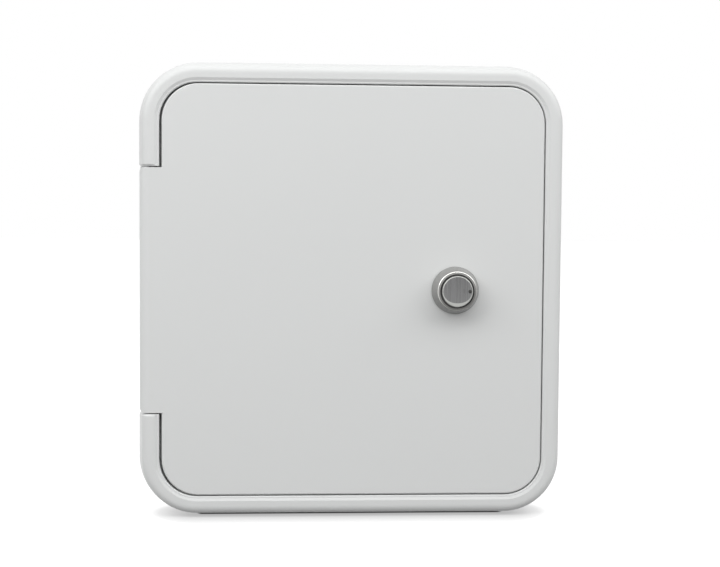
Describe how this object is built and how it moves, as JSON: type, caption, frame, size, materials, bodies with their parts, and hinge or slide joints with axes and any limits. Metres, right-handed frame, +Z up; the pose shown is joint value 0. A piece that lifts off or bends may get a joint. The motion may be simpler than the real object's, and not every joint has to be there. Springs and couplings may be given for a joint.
{
  "type": "rv power cord hatch",
  "caption": "Flush wall hatch with rounded corners: a raised rim and collar, a side-hinged door and a round cam lock with a swinging dust cover.",
  "frame": {"origin": "centre of the wall cut-out and of the screw pattern, in the plane of the wall's outer surface, which is the back face of the wall gasket", "axes": "+X to the right as seen from outside, +Y into the wall, +Z up"},
  "size_m": [0.214, 0.062, 0.2274],
  "materials": {
    "shell": "white moulded plastic, satin to gloss, very fine grain",
    "foam_rubber": "closed-cell foam",
    "seal_rubber": "smooth extruded rubber",
    "plated_sheet": "zinc plated",
    "fastener_steel": "plain steel",
    "lock_metal": "turned and satin plated",
    "plug_metal": "dull plated",
    "wafer_brass": "stamped brass",
    "cover_steel": "fine vertical brushing"
  },
  "bodies": {
    "frame": {"frame": "shell", "wall_gasket": "foam_rubber", "keeper": "plated_sheet", "keeper_screws": "fastener_steel"},
    "door": {"door": "shell", "door_seal": "seal_rubber", "upper_hinge_pin": "fastener_steel", "lower_hinge_pin": "fastener_steel", "lock_housing": "lock_metal", "lock_gasket": "seal_rubber", "lock_washer": "fastener_steel", "lock_nut": "plated_sheet"},
    "plug": {"lock_plug": "plug_metal", "wafer_tumblers": "wafer_brass", "cam_stop": "plated_sheet", "cam": "plated_sheet", "cam_washer": "fastener_steel", "cam_screw": "fastener_steel", "cover_washer": "fastener_steel", "cover_rivet": "fastener_steel"},
    "cover": {"dust_cover": "cover_steel"}
  },
  "joints": [
    {"name": "door_hinge", "type": "hinge", "parent": "frame", "child": "door", "pos_m": [-0.1022, -0.0088, 0], "axis": [0, 0, -1], "range_deg": [0, 170]},
    {"name": "lock_turn", "type": "hinge", "parent": "door", "child": "plug", "pos_m": [0.0512, -0.0098, 0.0007], "axis": [0, -1, 0], "range_deg": [0, 90]},
    {"name": "cover_swing", "type": "hinge", "parent": "plug", "child": "cover", "pos_m": [0.0574, -0.0226, 0.0007], "axis": [0, 1, 0], "range_deg": [0, 110]}
  ]
}
